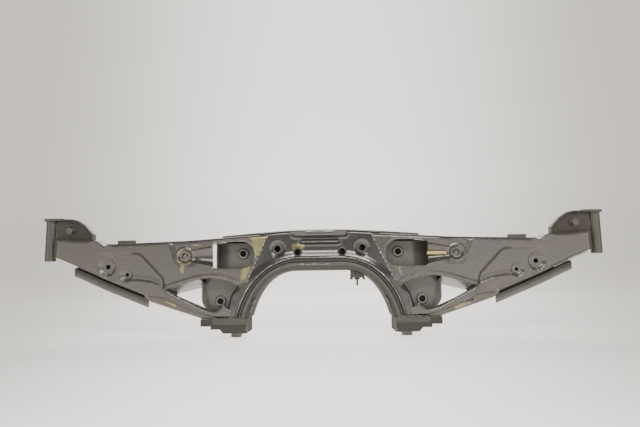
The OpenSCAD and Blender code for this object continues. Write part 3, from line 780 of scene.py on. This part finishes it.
link_coat = coat("link_coat", (0.135, 0.129, 0.117), (0.141, 0.128, 0.105),
                 (0.072, 0.067, 0.056), rough=0.36, metal=0.22, gloss=0.35)
gusset_coat = coat("gusset_coat", (0.066, 0.059, 0.051), (0.073, 0.061, 0.047),
                   (0.034, 0.03, 0.024), rough=0.4, metal=0.4, gloss=0.15)
foot_coat = coat("foot_coat", (0.058, 0.055, 0.048), (0.063, 0.056, 0.044),
                 (0.03, 0.027, 0.022), rough=0.55, metal=0.3, gloss=0.0)
dress("centre_rear_panel", rear_coat)
foot_lap = [(213.5, front + 0.6), (210, front - 1.2), (150, front - 1.4), (146, front - 0.2),
            (144.5, front + 3.0)]
lap_low, lap_top, lap_thick = -217.5, -205.5, 1.8
for hand in ("left", "right"):
    dress("upper_link_bracket_" + hand, link_coat, 1.0)
    dress("lower_link_bracket_" + hand, link_coat, 1.0)
    dress("end_bracket_" + hand, gusset_coat, 1.0)
    foot = dress("foot_bracket_" + hand, foot_coat, 1.2)
    # Faces of the foot that look inwards take the dark tunnel coat: painted shade.
    foot.data.materials.append(tunnel_shade_coat)
    for face in foot.data.polygons:
        looks_inward = face.normal.x * face.center.x < -0.1 * abs(face.center.x)
        if looks_inward:
            face.material_index = 1
    lap = upright(flange(foot_lap, lap_low, lap_top, lap_thick))
    lap = piece("foot_lap_" + hand, handed(hand, [lap]), rim_coat)


# The mount sleeves and bushes are drawn steel tube, cut to length. The plates, and the bosses
# under the feet, are turned or sheared from thicker stock. All are welded in.
tube_coat = coat("tube_coat", (0.1, 0.097, 0.079), (0.098, 0.091, 0.068),
                 (0.052, 0.048, 0.037), rough=0.38, metal=0.42)
for hand in ("left", "right"):
    for node in ("mount_sleeve_", "mount_plate_", "outer_bush_", "inner_bush_", "foot_boss_"):
        dress(node + hand, tube_coat, 0.8)


# Bolt heads, pivot collars and the small clip with its stud: steel with a grey finish, worn at
# the edges. The collars are welded to the link brackets, the clip to the rim.
bolt_coat = coat("bolt_coat", (0.11, 0.104, 0.088), (0.14, 0.121, 0.08),
                 (0.05, 0.045, 0.035), rough=0.36, cloud=70)
fastener_coat = coat("fastener_coat", (0.2, 0.19, 0.17), (0.19, 0.18, 0.145),
                     (0.09, 0.085, 0.07), rough=0.34)
for hand in ("left", "right"):
    dress("upper_pivot_collar_" + hand, fastener_coat, 0.8)
    dress("lower_pivot_collar_" + hand, fastener_coat, 0.8)
    dress("end_bolt_" + hand, bolt_coat, 0.8)
dress("clip_bracket", gusset_coat, 0.4)
dress("clip_stud", gusset_coat, 0.3)


# A turned steel rod with a yellow zinc finish, on the right side only.
# It lies in the trough of the arm, beside the window.
zinc = coat("yellow_zinc", (0.56, 0.45, 0.2), (0.5, 0.38, 0.17), (0.3, 0.22, 0.1),
            rough=0.3, metal=0.8)
dress("stay_bolt", zinc, 0.6)


# Weld beads where the pieces meet: rippled runs of filler metal, dipped with the rest. They run
# down both arm seams, round the sleeves, along the gussets, the rails, the rim and the feet.
# Thin bright runs on the lip of the arch and on the right arm's lower edge are painted
# highlights.
rng = np.random.default_rng(11)


def bead(path, r, pitch=2.6):
    """One run of weld along points in space, with a ripple for every drop of the wire."""
    path = np.array(path, float)
    d = np.concatenate([[0], np.cumsum(np.linalg.norm(np.diff(path, axis=0), axis=1))])
    n = max(6, int(d[-1] / 0.8))
    t = np.linspace(0, d[-1], n)
    line = np.stack([np.interp(t, d, path[:, k]) for k in range(3)], 1)
    ahead = np.gradient(line, axis=0)
    ahead /= np.linalg.norm(ahead, axis=1)[:, None]
    side = np.cross(ahead, (0.3, 0.5, 0.81))
    side /= np.linalg.norm(side, axis=1)[:, None]
    up = np.cross(side, ahead)
    waver = 6
    posts = np.arange(0, d[-1] + waver, waver)
    drift = np.interp(t, posts, rng.normal(0, 1, len(posts)))
    size = r * (0.85 + 0.22 * np.abs(np.sin(math.pi * t / pitch)) + 0.2 * drift)
    ends = np.sqrt(np.clip(np.minimum(t, d[-1] - t) / r, 0.05, 1))
    size = np.maximum(size, 0.5 * r) * ends
    line = line + side * (0.35 * r * drift)[:, None]
    a = np.linspace(0, 2 * math.pi, 8, endpoint=False)
    return swept([[q + k * (s * math.cos(w) + u * math.sin(w)) for w in a]
                  for q, k, s, u in zip(line, size, side, up)])


def on_face(line, y):
    return [(x, y, z) for x, z in line]


def ring(x, y, z, r, axis):
    a = np.linspace(0, 2 * math.pi, 41)
    c, d = r * np.cos(a), r * np.sin(a)
    if axis == "z":
        return np.stack([x + c, y + d, np.full(41, z)], 1)
    return np.stack([x + c, np.full(41, y), z + d], 1)


def stitches(line, y, run, gap):
    """Short runs of weld along a line, with gaps between them."""
    line = np.array(line, float)
    d = np.concatenate([[0], np.cumsum(np.hypot(*np.diff(line, axis=0).T))])
    out, at = [], gap / 2
    while at + run < d[-1]:
        t = np.linspace(at, at + run, 8)
        x, z = np.interp(t, d, line[:, 0]), np.interp(t, d, line[:, 1])
        out.append(np.stack([x, np.full(8, y), z], 1))
        at += run + gap
    return out


weld_coat = coat("weld_coat", (0.13, 0.122, 0.11), (0.62, 0.61, 0.59), (0.08, 0.07, 0.06),
                 rough=0.28, metal=0.6, grain=2.0, cloud=85)
dull_coat = coat("dull_weld_coat", (0.085, 0.079, 0.07), (0.105, 0.093, 0.075),
                 (0.04, 0.036, 0.03), rough=0.34, grain=2.0, cloud=85)
seam_run = beside(seam, -0.9)
sleeve_weld_r, sleeve_weld_y = 11.3, -2.5
sleeve_side = mount_x - sleeve_weld_r
link_face = 4.0
upper_pivot, lower_pivot, pivot_weld_r = (159, -78), (205, -174), 10.6
arch_side = arch_outer[arch_outer[:, 1] > foot_top + 2]
rim_side = arch_inner[(arch_inner[:, 1] > foot_top + 2) & (arch_inner[:, 1] < -162)]
foot_side = [(145, -206), (144.5, -214), (146, -222), (145, -232)]
foot_under = [(147, -233), (156, -234.2), (163, -235)]
# Each run has its path and its radius
bright_runs = [(run, 1.6) for run in stitches(seam_run, centre_front - 1.0, 8.5, 1.0)]
dull_runs = [(on_face(seam_run, centre_rear + 1.0), 1.7),
             (ring(mount_x, 0, -5.2, sleeve_weld_r, "z"), 1.5),
             ([(sleeve_side, sleeve_weld_y, -8), (sleeve_side, sleeve_weld_y, -42)], 1.6),
             (on_face([(496, -45.6), (arm_end, -41.2)], -4.2), 1.6),
             (on_face([(148, -205), (200, -205)], front + 0.6), 1.5),
             (on_face([(202, -205.2), (234, -207)], front + 0.8), 1.4)]
dull_runs += [(run, 1.6) for run in stitches(beside(arm_low, -2.6)[:4], -0.6, 22, 26)]
dull_runs += [(ring(x, link_face - 0.4, z, pivot_weld_r, "y"), 1.3)
              for x, z in (upper_pivot, lower_pivot)]
dull_runs.append((on_face(foot_side, front + 0.8), 2.4))
dull_runs.append((on_face(foot_under, front + 2.5), 2.2))
dull_runs += [(run, 1.5) for run in stitches(arch_side, rear + 0.4, 26, 22)]
dull_runs += [(run, 2.2) for run in stitches(beside(rim_side, -1.5), -30.5, 13, 3)]
for hand in ("left", "right"):
    for name, side_runs, metal in (("seam_weld_", bright_runs, weld_coat),
                                   ("weld_beads_", dull_runs, dull_coat)):
        parts = [bead(path, r) for path, r in side_runs]
        runs = piece(name + hand, handed(hand, parts), metal, sharp=60)
crown_line = [(-42, -102), (22, -102.6)]
crown_runs = [(run, 1.5) for run in stitches(crown_line, -39.2, 11, 1.5)]
# Painted highlights: thin bright runs along the lip of the arch and the right arm's lower edge.
lip_line = [o - (i - o) * 0.13 for o, i in zip(rim_out, rim_in) if o[1] > -196]
lower_edge = beside([(456, -113.7), (480, -102.7), (arm_end - 2, -83.2)], 1.2)
highlight_runs = [(on_face(lip_line, -41.9), 0.75), (on_face(lower_edge, front + 0.4), 0.8)]
for name, side_runs, metal in (("crown_weld", crown_runs, fastener_coat),
                               ("painted_highlight_edges", highlight_runs, weld_coat)):
    runs = piece(name, [bead(path, r) for path, r in side_runs], metal, sharp=60)


# A wide pale paper floor that runs up into a far pale wall. It glows with painted light,
# brightest in the middle, and its darkening towards both sides is painted shade. The part stands
# on it.
floor_z, floor_near, floor_half = -0.2455, -14.0, 10.0
wall_turn_y, wall_turn_r, wall_high = 5.0, 1.5, 7.0
middle_tone, side_tone = (0.95, 0.918, 0.872, 1), (0.47, 0.447, 0.412, 1)
middle_to, side_from = 0.05, 0.6
eye_back, eye_near = 1.3, 0.8
dark_from, dark_rate = 1.25, 1.5
glow, more_glow = 1.15, 0.28
backdrop_mat = bpy.data.materials.new("pale_backdrop")
backdrop_mat.use_nodes = True
tree = backdrop_mat.node_tree
paper = tree.nodes["Principled BSDF"]
paper.inputs["Roughness"].default_value = 0.85
place = tree.nodes.new("ShaderNodeSeparateXYZ")
tree.links.new(tree.nodes.new("ShaderNodeTexCoord").outputs["Object"], place.inputs["Vector"])
place_x, place_y = place.outputs["X"], place.outputs["Y"]
away = reckon(tree, "MAXIMUM", reckon(tree, "ADD", place_y, eye_back), eye_near)
off_middle = reckon(tree, "MAXIMUM", place_x, reckon(tree, "MULTIPLY", place_x, -1.0))
sideways = reckon(tree, "DIVIDE", off_middle, away)
ahead_of_it = reckon(tree, "MULTIPLY", reckon(tree, "ADD", place_y, dark_from), dark_rate)
ahead_of_it.node.use_clamp = True
shade = tree.nodes.new("ShaderNodeValToRGB")
shade.color_ramp.interpolation = "EASE"
first_stop, last_stop = shade.color_ramp.elements
first_stop.position, first_stop.color = middle_to, middle_tone
last_stop.position, last_stop.color = side_from, side_tone
darker = reckon(tree, "MULTIPLY", reckon(tree, "MINIMUM", sideways, side_from), ahead_of_it)
tree.links.new(darker, shade.inputs["Fac"])
tree.links.new(shade.outputs["Color"], paper.inputs["Base Color"])
tree.links.new(shade.outputs["Color"], paper.inputs["Emission Color"])
strength = reckon(tree, "ADD", reckon(tree, "MULTIPLY", ahead_of_it, more_glow), glow)
tree.links.new(strength, paper.inputs["Emission Strength"])
turn = [(wall_turn_y + wall_turn_r * math.sin(a), wall_turn_r * (1 - math.cos(a)))
        for a in np.linspace(0, math.pi / 2, 17)]
section = [(floor_near, 0.0)] + turn + [(wall_turn_y + wall_turn_r, wall_high)]
verts = [(x, y, floor_z + z) for x in (-floor_half, floor_half) for y, z in section]
n = len(section)
mesh = bpy.data.meshes.new("backdrop")
mesh.from_pydata(verts, [], [(i, i + n, i + n + 1, i + 1) for i in range(n - 1)])
mesh.shade_smooth()
mesh.materials.append(backdrop_mat)
backdrop = bpy.data.objects.new("backdrop", mesh)
bpy.context.scene.collection.objects.link(backdrop)


# Soft light: a key above the front, two wide panels in front, a narrow one at each side and one
# behind, in a dim warm room.
def soft_light(name, at, aim, size, watts):
    data = bpy.data.lights.new(name, "AREA")
    data.shape = "RECTANGLE"
    data.size, data.size_y = size
    data.energy = watts
    obj = bpy.data.objects.new(name, data)
    obj.location = at
    obj.rotation_euler = (Vector(aim) - Vector(at)).to_track_quat("-Z", "Y").to_euler()
    bpy.context.scene.collection.objects.link(obj)


part_middle = (0.0, 0.0, -0.1)
soft_light("key", (0.1, -1.5, 0.8), part_middle, (1.1, 0.3), 15)
soft_light("front_left", (-1.2, -2.2, 0.05), (-0.3, 0.0, -0.1), (1.4, 0.7), 2.4)
soft_light("front_right", (1.2, -2.2, 0.05), (0.3, 0.0, -0.1), (1.4, 0.7), 3.6)
soft_light("side_left", (-1.6, -0.95, 0.0), part_middle, (0.25, 1.0), 3)
soft_light("side_right", (1.6, -0.95, 0.0), part_middle, (0.25, 1.0), 4)
soft_light("rear", (0.0, 2.2, 1.6), part_middle, (2.4, 0.9), 24)
world = bpy.data.worlds.new("room")
world.use_nodes = True
room = world.node_tree.nodes["Background"]
room.inputs["Color"].default_value = (1.0, 0.985, 0.955, 1)
room.inputs["Strength"].default_value = 0.2
bpy.context.scene.world = world


# The camera, where the photograph was taken from: a metre in front of the part, low, looking
# slightly up and turned a little to the left.
camera_at = (0.0236, -1.0233, -0.1282)
yaw, pitch, tilt = math.radians(-1.28), math.radians(7.29), math.radians(-0.85)
lens = bpy.data.cameras.new("camera")
lens.sensor_width = 36
lens.lens = 28
lens.clip_end = 50
camera = bpy.data.objects.new("camera", lens)
ahead = Vector((math.sin(yaw) * math.cos(pitch), math.cos(yaw) * math.cos(pitch),
                math.sin(pitch)))
level = Vector((math.cos(yaw), -math.sin(yaw), 0))
above = level.cross(ahead)
right = math.cos(tilt) * level + math.sin(tilt) * above
up = math.cos(tilt) * above - math.sin(tilt) * level
facing = Matrix((right, up, -ahead)).transposed().to_4x4()
camera.matrix_world = Matrix.Translation(camera_at) @ facing
bpy.context.scene.collection.objects.link(camera)
bpy.context.scene.camera = camera
